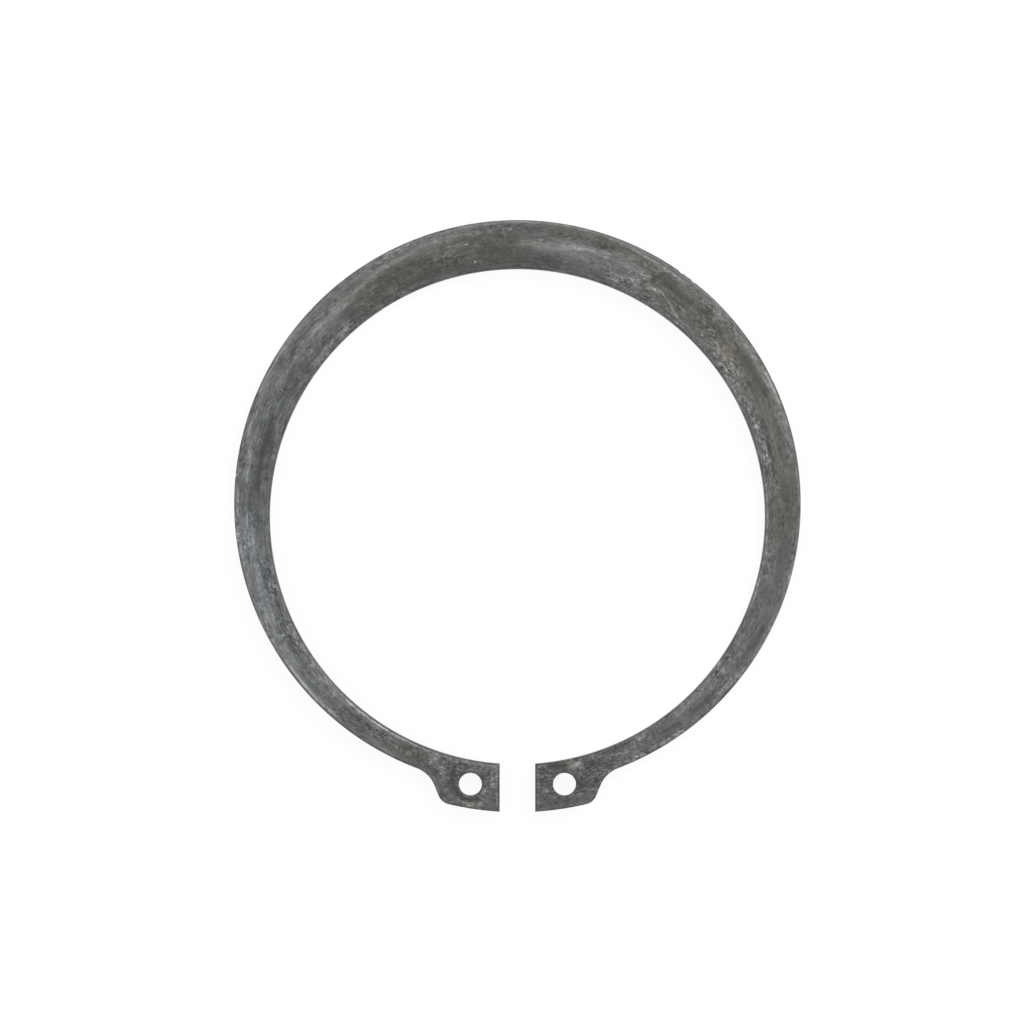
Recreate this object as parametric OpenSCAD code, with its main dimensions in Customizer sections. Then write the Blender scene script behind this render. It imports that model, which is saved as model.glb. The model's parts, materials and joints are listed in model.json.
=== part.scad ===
// External retaining ring: an open spring ring that snaps into a groove around a shaft.
// It is stamped from one piece of spring steel and lies flat on its bottom face.
// The beam tapers from its widest place towards the gap, so that the ring stays round when it
// is spread, and two lugs with holes for pliers stand beside the gap.
// The origin is on the axis of the inside edge, in the bottom face. The gap faces -Y.

/* [Beam] */
// Inside diameter of the free ring, before it is spread over a shaft
inside_d = 79.5; // [60:0.5:110]
// Thickness of the steel
thickness = 3; // [2:0.25:4]
// Width of the beam opposite the gap, its widest place
widest = 7.8; // [6.5:0.1:9]
// Width to which the beam tapers at the gap
narrowest = 3.55; // [2.5:0.05:4.5]

/* [Lugs] */
// Height of the lugs, out from the inside edge
lug_height = 7.65; // [7:0.05:9]
// Length of a lug, from its end face to the middle of its flank
lug_length = 10.35; // [9:0.05:13]
// Gap between the two end faces
gap = 5.7; // [3:0.1:9]
// Lean of the flanks, which narrow the lugs outwards, in degrees
flank_lean = 22.3; // [16:0.1:28]
// Radius of the outer corner of a lug
corner_r = 2.3; // [1:0.1:2.5]
// Radius of the fillet between a lug and the beam
fillet_r = 4.85; // [2:0.05:5.5]

/* [Plier holes] */
// Diameter of the plier holes
hole_d = 3.7; // [2.5:0.1:4.5]
// Distance from a lug's end face to the middle of its hole
hole_from_end = 4.7; // [3.8:0.1:6]

/* [Edges] */
// Rounding of the edges of the top face, which the punch drew in
top_round = 0.45; // [0.2:0.05:0.7]
// Rounding of the edges of the bottom face, which tumbling wore down
bottom_round = 0.2; // [0.1:0.05:0.4]
// Rounding of the mouths of the plier holes
hole_round = 0.15; // [0.1:0.05:0.3]

/* [Hidden] */
$fn = 180;

// How far a cutting shape reaches past the faces that it cuts
margin = 1;
// A rounded edge meets its two faces at a slight angle: its centre lies this many rounds deep
round_depth = 1.2;
// A blend runs this far into the edges that it joins, so that it crosses them cleanly
blend_overlap = 0.004;

// The outer edge is a circle set off from the inside one, away from the gap
inside_r = inside_d / 2;
outside_r = inside_r + (widest + narrowest) / 2;
outside_centre = [0, (widest - narrowest) / 2];
lug_r = inside_r + lug_height;

// Directions along the right flank, towards the beam, and square to it, out of the lug
flank_along = [sin(flank_lean), cos(flank_lean)];
flank_out = [cos(flank_lean), -sin(flank_lean)];

// Point at x on a circle of radius r about the origin, on the gap's side
function on_circle(r, x) = [x, -sqrt(r * r - x * x)];

// The flank passes through the middle of its height, halfway between the beam's edge and the lug's
flank_mid_r = (outside_r - outside_centre.y + lug_r) / 2;
flank_mid = on_circle(flank_mid_r, gap / 2 + lug_length);

// Centre of a circle at a height square to the flank and at a distance from a point,
// taken on the outward side of that point
function flank_circle(from, height, distance) =
    let (across = height - from * flank_out)
    from + across * flank_out - sqrt(distance * distance - across * across) * flank_along;

// The corner lies inside the lug's edge, and the fillet lies outside the beam's edge
flank_height = flank_mid * flank_out;
corner_centre = flank_circle([0, 0], flank_height - corner_r, lug_r - corner_r);
fillet_centre = flank_circle(outside_centre, flank_height + fillet_r, outside_r + fillet_r);
flank_run = (fillet_centre - corner_centre) * flank_along;

hole_centre = on_circle(inside_r + lug_height / 2, gap / 2 + hole_from_end);

// The corner that a rounded edge takes away, with the wall at x = 0 and the face at y = 0
module edge_waste(round) {
    centre = round * round_depth;
    translate([-centre, -centre])
        difference() {
            square(centre + margin);
            circle(norm([centre, centre - round]));
        }
}

// What the rounded edges take off a wall at x = reach, at both faces of the plate
module wall_waste(reach) {
    translate([reach, thickness])
        edge_waste(top_round);
    translate([reach, 0])
        mirror([0, 1])
            edge_waste(bottom_round);
}

// Section of a cut whose wall at x = reach has rounded edges, which open the cut at both faces
module cut_section(reach, top, bottom) {
    translate([0, -margin])
        square([reach, thickness + 2 * margin]);
    translate([reach, thickness])
        mirror([1, 0])
            edge_waste(top);
    translate([reach, 0])
        rotate(180)
            edge_waste(bottom);
}

// Round plate with rounded edges
module disc(r) {
    rotate_extrude()
        difference() {
            square([r, thickness]);
            wall_waste(r);
        }
}

// Round hole through the plate, with rounded mouths
module hole(r, top = top_round, bottom = bottom_round) {
    rotate_extrude()
        cut_section(r, top, bottom);
}

// Part of the lug under its outer edge, from the middle of the gap to the corner
module lug_sector() {
    reach = 2 * lug_r;
    intersection() {
        disc(lug_r - blend_overlap);
        linear_extrude(thickness)
            polygon([[0, 0], [0, -reach], reach * corner_centre / norm(corner_centre)]);
    }
}

// Point of the lug at a distance out from the corner's centre and along the flank
function in_lug(out, along) = corner_centre + out * flank_out + along * flank_along;

// Rounded outer corner of the lug, with the straight flank that runs from it into the beam
module lug_corner() {
    flank_x = corner_r - blend_overlap;
    flank_end = flank_run + fillet_r / 2;
    back = -lug_length / 2;
    translate(corner_centre)
        disc(corner_r);
    difference() {
        linear_extrude(thickness)
            polygon([
                in_lug(back, 0),
                in_lug(flank_x, 0),
                in_lug(flank_x, flank_end),
                in_lug(back, flank_end)
            ]);
        translate(in_lug(0, flank_end + margin))
            rotate([90, 0, -flank_lean])
                linear_extrude(flank_end + 2 * margin)
                    wall_waste(flank_x);
    }
}

// Hollow fillet between the flank and the beam
module lug_fillet() {
    to_beam = outside_centre - fillet_centre;
    difference() {
        linear_extrude(thickness)
            polygon([
                fillet_centre,
                fillet_centre - (fillet_r + corner_r) * flank_out,
                fillet_centre + (fillet_r + narrowest / 2) * to_beam / norm(to_beam)
            ]);
        translate(fillet_centre)
            hole(fillet_r + 2 * blend_overlap);
    }
}

// Gap between the lugs, with the rounded edges of their end faces
module gap_cut() {
    rotate([90, 0, 0])
        linear_extrude(lug_r + margin)
            for (side = [0, 1])
                mirror([side, 0])
                    cut_section(gap / 2, top_round, bottom_round);
}

module retaining_ring() {
    color([0.38, 0.39, 0.39])
        difference() {
            union() {
                translate(outside_centre)
                    disc(outside_r);
                for (side = [0, 1])
                    mirror([side, 0]) {
                        lug_sector();
                        lug_corner();
                        lug_fillet();
                    }
            }
            hole(inside_r);
            gap_cut();
            for (side = [0, 1])
                mirror([side, 0])
                    translate(hole_centre)
                        hole(hole_d / 2, hole_round, hole_round);
        }
}

retaining_ring();
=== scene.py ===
# %% [markdown]
# # An external retaining ring
#
# This ring snaps into a groove around a shaft and keeps a hub or a bearing from sliding off. It is
# stamped from one strip of spring steel: a beam that tapers from the top towards the gap, and two lugs
# whose holes take the tips of a pair of pliers. The lesson builds it in three steps: one closed mesh that
# is worked out with numpy, one dark phosphate finish made of shader nodes, and a plain bright studio.
#
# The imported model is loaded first. It is the fixed frame: every size that it can give is taken from it,
# and the new mesh is put in the same place, in metres, with the ring's axis along Z and the gap at -Y.

# %% Load the frame
import json
import math

import bmesh
import bpy
import numpy as np
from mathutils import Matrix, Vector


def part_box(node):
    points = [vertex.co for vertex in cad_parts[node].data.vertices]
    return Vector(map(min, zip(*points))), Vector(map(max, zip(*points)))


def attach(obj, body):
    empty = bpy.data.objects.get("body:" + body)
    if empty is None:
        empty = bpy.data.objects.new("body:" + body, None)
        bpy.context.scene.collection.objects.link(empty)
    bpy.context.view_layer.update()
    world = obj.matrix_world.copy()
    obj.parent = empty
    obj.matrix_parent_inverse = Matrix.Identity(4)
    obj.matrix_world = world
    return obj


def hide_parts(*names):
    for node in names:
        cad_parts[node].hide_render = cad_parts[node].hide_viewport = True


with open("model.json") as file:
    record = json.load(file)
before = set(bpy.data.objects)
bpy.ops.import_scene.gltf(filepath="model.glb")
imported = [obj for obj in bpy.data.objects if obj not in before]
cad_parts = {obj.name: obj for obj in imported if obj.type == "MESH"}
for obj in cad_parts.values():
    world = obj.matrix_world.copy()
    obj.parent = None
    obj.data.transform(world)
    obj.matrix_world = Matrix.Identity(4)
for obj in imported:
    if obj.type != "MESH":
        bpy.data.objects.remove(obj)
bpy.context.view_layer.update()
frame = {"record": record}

MM = 0.001
CAD_NODE = "retaining_ring"

# %% [markdown]
# ## Sizes
#
# The box of the solid gives the thickness, the outer circle and the reach of the lugs, and the record's
# mounts give the inside edge and the plier holes. Only the shape of the lugs and the rounding of the
# edges are written here, because no box or mount holds them. All lengths below are millimetres, which is
# how such a ring is dimensioned, and they become metres when the mesh is made.

# %% Sizes of the ring in millimetres
low, high = (np.array(corner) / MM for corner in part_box(CAD_NODE))
mounts = {mount["name"]: mount for mount in frame["record"]["mounts"]}

GAP = 5.7
LUG_LENGTH = 10.35
FLANK_LEAN = math.radians(22.3)
CORNER_R = 2.3
FILLET_R = 4.85
TOP_ROUND = 0.45
BOTTOM_ROUND = 0.2
HOLE_ROUND = 0.15

THICK = high[2] - low[2]
INSIDE_R = mounts["groove_seat"]["dims"]["r_mm"]
HOLE_R = mounts["plier_hole_right"]["dims"]["r_mm"]
HOLE_AT = np.array(mounts["plier_hole_right"]["pos_m"][:2]) / MM
OUTSIDE_R = (high[0] - low[0]) / 2
OUTSIDE_CENTRE = np.array([0.0, high[1] - OUTSIDE_R])
LUG_R = math.hypot(low[1], GAP / 2)
print(f"inside {INSIDE_R:.2f}, outside {OUTSIDE_R:.2f}, lugs to {LUG_R:.2f}, {THICK:.2f} thick")

# %% [markdown]
# ## The outer edge
#
# Seen from above, half of the outer edge is five stretches that run into each other without a kink: the
# round back of the lug, its corner, a straight flank, a hollow fillet and the long arc of the beam. A
# drawn spline would only come near to that. Circles and one straight line are what the stamping tool
# has, so the edge is worked out from their centres, with the outward normal of each point beside it.

# %% Arcs and straight stretches
STEP = 0.25


def direction(vector):
    """Angle of a vector from +X, counter-clockwise."""
    return math.atan2(vector[1], vector[0])


def arc(centre, radius, start, stop, hollow=False):
    """Points centre + radius * (cos t, sin t) for t from start to stop, and their outward normals.
    On a hollow arc the metal lies outside the circle, so the normal points at the centre."""
    count = max(12, math.ceil(radius * abs(stop - start) / STEP))
    t = np.linspace(start, stop, count, endpoint=False)
    ray = np.stack([np.cos(t), np.sin(t)], -1)
    return centre + radius * ray, -ray if hollow else ray


def straight(start, stop, normal):
    """Points that divide the way from start to stop evenly, each with the same outward normal."""
    count = max(2, math.ceil(np.linalg.norm(stop - start) / STEP))
    share = np.linspace(0, 1, count, endpoint=False)[:, None]
    return start + share * (stop - start), np.broadcast_to(normal, (count, 2))


# %% Centres of the lug's corner and fillet
flank_along = np.array([math.sin(FLANK_LEAN), math.cos(FLANK_LEAN)])
flank_out = np.array([math.cos(FLANK_LEAN), -math.sin(FLANK_LEAN)])
flank_x = GAP / 2 + LUG_LENGTH
flank_r = (OUTSIDE_R - OUTSIDE_CENTRE[1] + LUG_R) / 2
flank_height = np.array([flank_x, -math.sqrt(flank_r**2 - flank_x**2)]) @ flank_out


def beside_flank(base, height, distance):
    """Centre at a height square to the flank and at a distance from base, on its outward side."""
    across = height - base @ flank_out
    return base + across * flank_out - math.sqrt(distance**2 - across**2) * flank_along


corner_centre = beside_flank(np.zeros(2), flank_height - CORNER_R, LUG_R - CORNER_R)
fillet_centre = beside_flank(OUTSIDE_CENTRE, flank_height + FILLET_R, OUTSIDE_R + FILLET_R)
print("corner about", corner_centre.round(3), "fillet about", fillet_centre.round(3))

# %% The whole outer edge, from the right lug round to the left one
end_outer = np.array([GAP / 2, -math.sqrt(LUG_R**2 - (GAP / 2) ** 2)])
quarter = math.pi / 2
stretches = [
    arc(np.zeros(2), LUG_R, direction(end_outer), direction(corner_centre)),
    arc(corner_centre, CORNER_R, direction(corner_centre), direction(flank_out)),
    straight(corner_centre + CORNER_R * flank_out, fillet_centre - FILLET_R * flank_out, flank_out),
    arc(fillet_centre, FILLET_R, direction(-flank_out), direction(OUTSIDE_CENTRE - fillet_centre), True),
    arc(OUTSIDE_CENTRE, OUTSIDE_R, direction(fillet_centre - OUTSIDE_CENTRE), quarter),
]
half_edge = np.concatenate([points for points, normals in stretches])
half_normal = np.concatenate([normals for points, normals in stretches])
top_point = OUTSIDE_CENTRE + [0, OUTSIDE_R]
MIRROR = np.array([-1, 1])
outer = np.concatenate([half_edge, [top_point], half_edge[::-1] * MIRROR])
outer_normal = np.concatenate([half_normal, [[0, 1]], half_normal[::-1] * MIRROR])
print("points along the outer edge:", len(outer))

# %% [markdown]
# ## The inside edge
#
# The inside edge is a plain circle. Each of its points belongs to one point of the outer edge, so that
# lines across the beam join them. The end faces are cut square to the gap and not along a radius, so the
# inside edge starts at a slightly larger angle than the outer one: the angles are scaled to fit.

# %% The inside edge, point by point beside the outer one
end_inner = np.array([GAP / 2, -math.sqrt(INSIDE_R**2 - (GAP / 2) ** 2)])


def from_gap(points):
    """Angle of each point from the middle of the gap, counter-clockwise, from 0 to a full turn."""
    return np.arctan2(points[..., 0], -points[..., 1]) % (2 * math.pi)


inner_share = (math.pi - from_gap(end_inner)) / (math.pi - from_gap(end_outer))
inner_turn = math.pi + (from_gap(outer) - math.pi) * inner_share
inner_normal = np.stack([-np.sin(inner_turn), np.cos(inner_turn)], -1)
inner = -INSIDE_R * inner_normal
print("inside edge ends at x =", inner[0, 0].round(3), "and", inner[-1, 0].round(3))

# %% [markdown]
# ## Nicks in the outer edge
#
# The ring has been knocked about: its outer edge has two clear nicks at the upper right and a few faint
# ones. They could be painted on, but a nick changes the outline, so the points of the edge are moved into
# the metal. The depth follows a rounded bite, deepest in the middle and zero at both sides.

# %% Nicks as bites into the edge: degrees clockwise from the top, half length and depth in mm
NICKS = [
    (33.9, 0.55, 0.16),
    (35.2, 0.50, 0.06),
    (36.8, 0.50, 0.15),
    (38.3, 0.60, 0.05),
    (-81.6, 0.40, 0.09),
    (61.5, 0.50, 0.05),
    (-45.0, 0.70, 0.04),
    (-118.0, 0.60, 0.04),
]


def clockwise(points):
    """Angle of each point from the top of the ring, clockwise, in degrees from -180 to 180."""
    return np.degrees(np.arctan2(points[..., 0], points[..., 1]))


def bites(points):
    """Depth of the nicks at each point: depth * (1 - s^2)^2, where s is the way from the middle of the
    nick divided by its half length, and zero past the half length."""
    turn = clockwise(points)[:, None]
    at, half, depth = np.array(NICKS).T
    way = np.radians(turn - at) * OUTSIDE_R / half
    return (depth * np.clip(1 - way**2, 0, None) ** 2).sum(-1)


outer = outer - bites(outer)[:, None] * outer_normal
print("deepest nick in mm:", bites(outer).max().round(3))

# %% [markdown]
# ## The rounded rim
#
# A punch draws the upper edge of the strip in, and tumbling wears the lower one, so no edge is sharp. The
# section of the rim, from the bottom face up the wall to the top face, is one profile of insets and
# heights. A Bevel modifier could round a flat plate too, but it would round the upright corners of the
# end faces and the hole mouths alike. Here the profile is carried along the closed outline instead.

# %% The profile of the rim
ROUND_DEPTH = 1.2
TOP_ARC = 7
BOTTOM_ARC = 4
WALL_POINTS = 4


def rounded(radius, count):
    """Insets and depths along a rounded edge, from the face to the wall. It is an arc whose centre lies
    1.2 radii below the face and inside the wall, so it meets both at a slight angle."""
    centre = radius * ROUND_DEPTH
    reach = math.hypot(centre, centre - radius)
    start = math.atan2(centre, centre - radius)
    t = np.linspace(start, quarter - start, count)
    return centre - reach * np.cos(t), centre - reach * np.sin(t)


def rim_profile(top, bottom):
    """Insets and heights from the bottom face, round its edge, up the wall and round the top edge."""
    low_in, low_up = rounded(bottom, BOTTOM_ARC)
    high_in, high_down = rounded(top, TOP_ARC)
    wall = np.linspace(bottom, THICK - top, WALL_POINTS)[1:-1]
    inset = np.concatenate([low_in, np.zeros(len(wall)), high_in[::-1]])
    height = np.concatenate([low_up, wall, THICK - high_down[::-1]])
    return inset, height


inset, height = rim_profile(TOP_ROUND, BOTTOM_ROUND)
print("stations of the rim:", len(inset))

# %% The closed outline: outer edge, left end face, inside edge backwards, right end face
END_POINTS = 26


def end_face(start, stop, normal):
    """Points between two corners of an end face, without the corners, and their outward normals."""
    share = np.linspace(0, 1, END_POINTS)[1:-1, None]
    return start + share * (stop - start), np.broadcast_to(normal, (END_POINTS - 2, 2))


FIRST, LAST = 0, -1
left_end, left_normal = end_face(outer[LAST], inner[LAST], [1.0, 0.0])
right_end, right_normal = end_face(inner[FIRST], outer[FIRST], [-1.0, 0.0])
outline = np.concatenate([outer, left_end, inner[::-1], right_end])
outline_splits = np.cumsum([len(outer), len(left_end), len(inner)])
print("points along the closed outline:", len(outline))

# %% How each point of the outline moves in as its inset grows
MITRE_REACH = 3.0


def mitre(first, second):
    """Vector along which a corner between two walls moves in as both walls move in by one unit."""
    return (first + second) / (1 + first @ second)


def inward(wall, normal, first_corner, last_corner):
    """The normal of each point, plus a lean along the wall that grows to the mitre of a corner over the
    last 3 mm before it, so that the points beside a corner make room for it. A corner is its point and
    the normal of the wall on its other side."""
    vectors = np.array(normal)
    for at, (corner, other) in ((FIRST, first_corner), (LAST, last_corner)):
        near = np.clip(1 - np.linalg.norm(wall - corner, axis=-1) / MITRE_REACH, 0, 1)
        vectors += near[:, None] * (mitre(normal[at], other) - normal[at])
    return vectors


right_out, left_out = right_normal[FIRST], left_normal[FIRST]
outer_ends = [(outer[at], outer_normal[at]) for at in (FIRST, LAST)]
inner_ends = [(inner[at], inner_normal[at]) for at in (FIRST, LAST)]
outer_in = inward(outer, outer_normal, (outer[FIRST], right_out), (outer[LAST], left_out))
left_in = inward(left_end, left_normal, outer_ends[LAST], inner_ends[LAST])
inner_in = inward(inner, inner_normal, (inner[FIRST], right_out), (inner[LAST], left_out))
right_in = inward(right_end, right_normal, inner_ends[FIRST], outer_ends[FIRST])
outline_in = np.concatenate([outer_in, left_in, inner_in[::-1], right_in])


def carried(line, vectors, stations, heights):
    """A profile carried along a closed line: line - inset * vector, at the profile's heights."""
    plan = line[:, None] - stations[None, :, None] * vectors[:, None]
    return np.concatenate([plan, np.broadcast_to(heights[None, :, None], (*plan.shape[:2], 1))], -1)


rim = carried(outline, outline_in, inset, height)
print("rim grid:", rim.shape[:2])

# %% [markdown]
# ## The flat faces
#
# The rim leaves the top and the bottom open. Along the beam each face is a grid between the rim of the
# outer edge and the rim of the inside one, closer together near the rims so that the flat stays flat to
# its border. In the lugs the grid has to go round the plier hole: there the lines run from the rim of the
# lug to the mouth of the hole, like the spokes of a wheel. A boolean cut would leave long thin triangles.

# %% Grids along the beam
LUG_TURN = math.radians(16.6)
FACE_CELLS = 24
cut = int(np.searchsorted(from_gap(outer), LUG_TURN))
beam = np.arange(cut, len(outer) - cut)


def rim_row(side):
    """The rim's border with one face, split into the outer edge, the inside edge and both end faces."""
    outer_row, left_row, inner_row, right_row = np.split(rim[:, side], outline_splits)
    return outer_row, inner_row[::-1], left_row, right_row


def beam_face(side):
    """Points between the two edges: (1 - s) * outer + s * inside, with s in steps of a cosine."""
    outer_row, inner_row = rim_row(side)[:2]
    share = (1 - np.cos(np.linspace(0, math.pi, FACE_CELLS + 1)[None, :, None])) / 2
    return (1 - share) * outer_row[beam, None] + share * inner_row[beam, None]


TOP, BOTTOM = -1, 0
beam_faces = {side: beam_face(side) for side in (TOP, BOTTOM)}
print("beam grids:", [face.shape[:2] for face in beam_faces.values()])

# %% Grids round the plier holes
LUG_CELLS = 14
LUG_CROWDING = 0.8


def lug_border(side, on_left):
    """The closed border of a lug's face: its end face, the inside edge, the line across the beam where
    the beam's grid begins, and the outer edge."""
    outer_row, inner_row, left_row, right_row = rim_row(side)
    across_row = beam_faces[side][LAST if on_left else FIRST]
    end_row = left_row if on_left else right_row[::-1]
    if on_left:
        outer_row, inner_row = outer_row[::-1], inner_row[::-1]
    return np.concatenate([end_row, inner_row[:cut], across_row[:0:-1], outer_row[cut::-1]])


def spokes(border, centre):
    """Unit vectors from the middle of the hole to each point of the border."""
    ray = border[:, :2] - centre
    return ray / np.linalg.norm(ray, axis=-1, keepdims=True)


def lug_face(border, mouth):
    """Points between the border and the mouth of the hole: (1 - s) * border + s * mouth, with s a power of
    even steps, so that they crowd a little towards the hole."""
    share = np.linspace(0, 1, LUG_CELLS + 1)[None, :, None] ** LUG_CROWDING
    return (1 - share) * border[:, None] + share * mouth[:, None]


def hole_wall(rays, centre):
    """The hole's own profile, carried along its circle. Its wall faces the middle of the hole."""
    return carried(centre + HOLE_R * rays, -rays, *rim_profile(HOLE_ROUND, HOLE_ROUND))


lug_grids = []
for on_left in (False, True):
    centre = HOLE_AT * MIRROR if on_left else HOLE_AT
    hole = hole_wall(spokes(lug_border(TOP, on_left), centre), centre)
    lug_grids.append(hole)
    for side in (TOP, BOTTOM):
        lug_grids.append(lug_face(lug_border(side, on_left), hole[:, side]))
print("lug grids:", [grid.shape[:2] for grid in lug_grids])

# %% [markdown]
# ## One closed mesh
#
# Every grid becomes a sheet of quads. Neighbouring grids share the same points on their borders, so
# merging points that lie on each other closes the mesh. The faces are then turned outwards, and edges
# sharper than 30 degrees, such as the upright corners of the end faces, are marked so that they stay crisp
# under smooth shading.

# %% Sheets of quads
def quads(rows, columns, closed):
    """Corner numbers of the quads of a grid, whose last row joins its first one if it is closed."""
    row = np.arange(rows if closed else rows - 1)[:, None]
    column = np.arange(columns - 1)[None, :]
    here = row * columns + column
    after = (row + 1) % rows * columns + column
    return np.stack([here, after, after + 1, here + 1], -1).reshape(-1, 4)


sheets = [(rim, True)]
sheets += [(face, False) for face in beam_faces.values()]
sheets += [(grid, True) for grid in lug_grids]
sheet_points = [grid.reshape(-1, 3) for grid, closed in sheets]
sheet_starts = np.cumsum([0] + [len(part) for part in sheet_points])
sheet_faces = [quads(*grid.shape[:2], closed) + at for (grid, closed), at in zip(sheets, sheet_starts)]
points = np.concatenate(sheet_points) * MM
faces = np.concatenate(sheet_faces)
print(len(sheets), "sheets with", len(faces), "quads")

# %% [markdown]
# ## A flat map of the ring
#
# Other programs don't know the nodes of a finish, so a finish is baked into a picture when a model leaves
# Blender, and a flat map says which part of the picture belongs to which face. An automatic unwrap lays the
# two faces of this ring out as large open rings and leaves most of the picture empty. The ring is a strip,
# so its map is made of ribbons: each sheet is laid flat in millimetres, cut into lengths and stacked.

# %% Lay the sheets flat
def joined(grid):
    """A closed grid with its first row repeated at its end, where the map is cut open."""
    return np.concatenate([grid, grid[:1]])


def ribbon(grid):
    """Flat places of a strip's points: how far along its middle line and how far across its own row."""
    steps_along = np.linalg.norm(np.diff(grid[:, grid.shape[1] // 2], axis=0), axis=-1)
    steps_across = np.linalg.norm(np.diff(grid, axis=1), axis=-1)
    far_along = np.pad(np.cumsum(steps_along), (1, 0))[:, None]
    far_across = np.pad(np.cumsum(steps_across, axis=1), ((0, 0), (1, 0)))
    return np.stack(np.broadcast_arrays(far_along, far_across), -1)


FLIP = np.array([1, -1])
ribbons = [ribbon(joined(rim)), ribbon(beam_faces[TOP]), ribbon(beam_faces[BOTTOM]) * FLIP]
small_ones = []
for (hole, top, bottom), facing in ((lug_grids[:3], 1), (lug_grids[3:], FLIP)):
    small_ones += [ribbon(joined(hole)) * facing, joined(top)[..., :2], joined(bottom)[..., :2] * FLIP]
print("ribbons as long as", [flat[..., 0].max().round(1) for flat in ribbons], "mm")

# %% Stack the ribbons on a square map, in mm, and set the small sheets side by side above them
MAP_SIDE = 83.0
FOLD = 81.8
SPACE = 0.4


def map_corners(flat):
    """Flat places of the four corners of each quad of a sheet, measured from the sheet's lower left."""
    return (flat - flat.min((0, 1))).reshape(-1, 2)[quads(*flat.shape[:2], False)]


sheet_places = []
base = SPACE
for flat in ribbons:
    corners = map_corners(flat)
    row_height = corners[..., 1].max() + SPACE
    fold = corners[:, :1, 0] // FOLD
    sheet_places.append(corners + np.stack([SPACE - FOLD * fold, base + row_height * fold], -1))
    base += row_height * (fold.max() + 1)
left_side = SPACE
for flat in small_ones:
    corners = map_corners(flat)
    sheet_places.append(corners + [left_side, base])
    left_side += corners[..., 0].max() + SPACE
map_places = np.concatenate(sheet_places) / MAP_SIDE
print("the map reaches to", map_places.max((0, 1)).round(3), "of its side")

# %% The mesh of the ring
MERGE = 0.0005 * MM
SHARP = math.radians(30)
ring_mesh = bpy.data.meshes.new("ring")
ring_mesh.from_pydata(points.tolist(), [], faces.tolist())
flat_map = ring_mesh.uv_layers.new(name="OFBake")
flat_map.data.foreach_set("uv", map_places.ravel().astype(np.float32))
shell = bmesh.new()
shell.from_mesh(ring_mesh)
bmesh.ops.remove_doubles(shell, verts=shell.verts, dist=MERGE)
bmesh.ops.recalc_face_normals(shell, faces=shell.faces)
open_edges = sum(not edge.is_manifold for edge in shell.edges)
volume = shell.calc_volume() / MM**3
shell.to_mesh(ring_mesh)
shell.free()
ring_mesh.polygons.foreach_set("use_smooth", np.ones(len(ring_mesh.polygons), bool))
ring_mesh.set_sharp_from_angle(angle=SHARP)
ring = bpy.data.objects.new("ring", ring_mesh)
bpy.context.scene.collection.objects.link(ring)
print(f"ring: {len(ring_mesh.polygons)} quads, {open_edges} open edges, {volume:.0f} mm3")

# %% [markdown]
# ## Coordinates that follow the strip
#
# The marks of rolling, tumbling and handling follow the beam round, so the finish needs coordinates that
# do the same: how far along the strip a point is, how far across, and how near to an edge. They could be
# worked out by a tree of shader nodes, but numbers stored on the points of the mesh are easier to read.

# %% Along, across and to the edge
ring_points = np.empty(len(ring_mesh.vertices) * 3, np.float32)
ring_mesh.vertices.foreach_get("co", ring_points)
ring_points = ring_points.reshape(-1, 3).astype(float) / MM
MIDDLE_R = (INSIDE_R + LUG_R) / 2
turn = clockwise(ring_points[:, :2])
along = np.radians(turn) * MIDDLE_R
across = np.hypot(ring_points[:, 0], ring_points[:, 1]) - INSIDE_R
order = np.argsort(clockwise(outer))
outer_turn = clockwise(outer)[order]
outer_width = (np.hypot(outer[:, 0], outer[:, 1]) - INSIDE_R)[order]
width = np.interp(turn, outer_turn, outer_width)


def nearest(where, line, block=3000):
    """Distance from each point to the nearest point of a line, worked out in blocks of points."""
    parts = np.array_split(where, math.ceil(len(where) / block))
    squares = [((part[:, None] - line[None]) ** 2).sum(-1).min(1) for part in parts]
    return np.sqrt(np.concatenate(squares))


to_edge = nearest(ring_points[:, :2].astype(np.float32), outline.astype(np.float32))
print("widest place in mm:", width.max().round(2), "farthest from an edge:", to_edge.max().round(2))


def store(name, values, kind="FLOAT"):
    """Keeps one number or one vector for each point of the ring under a name that the finish can read."""
    field = "vector" if kind == "FLOAT_VECTOR" else "value"
    attribute = ring_mesh.attributes.new(name, kind, "POINT")
    attribute.data.foreach_set(field, np.ravel(values).astype(np.float32))


store("strip", np.stack([along, across, ring_points[:, 2]], -1), "FLOAT_VECTOR")
store("edge", to_edge)
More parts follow.
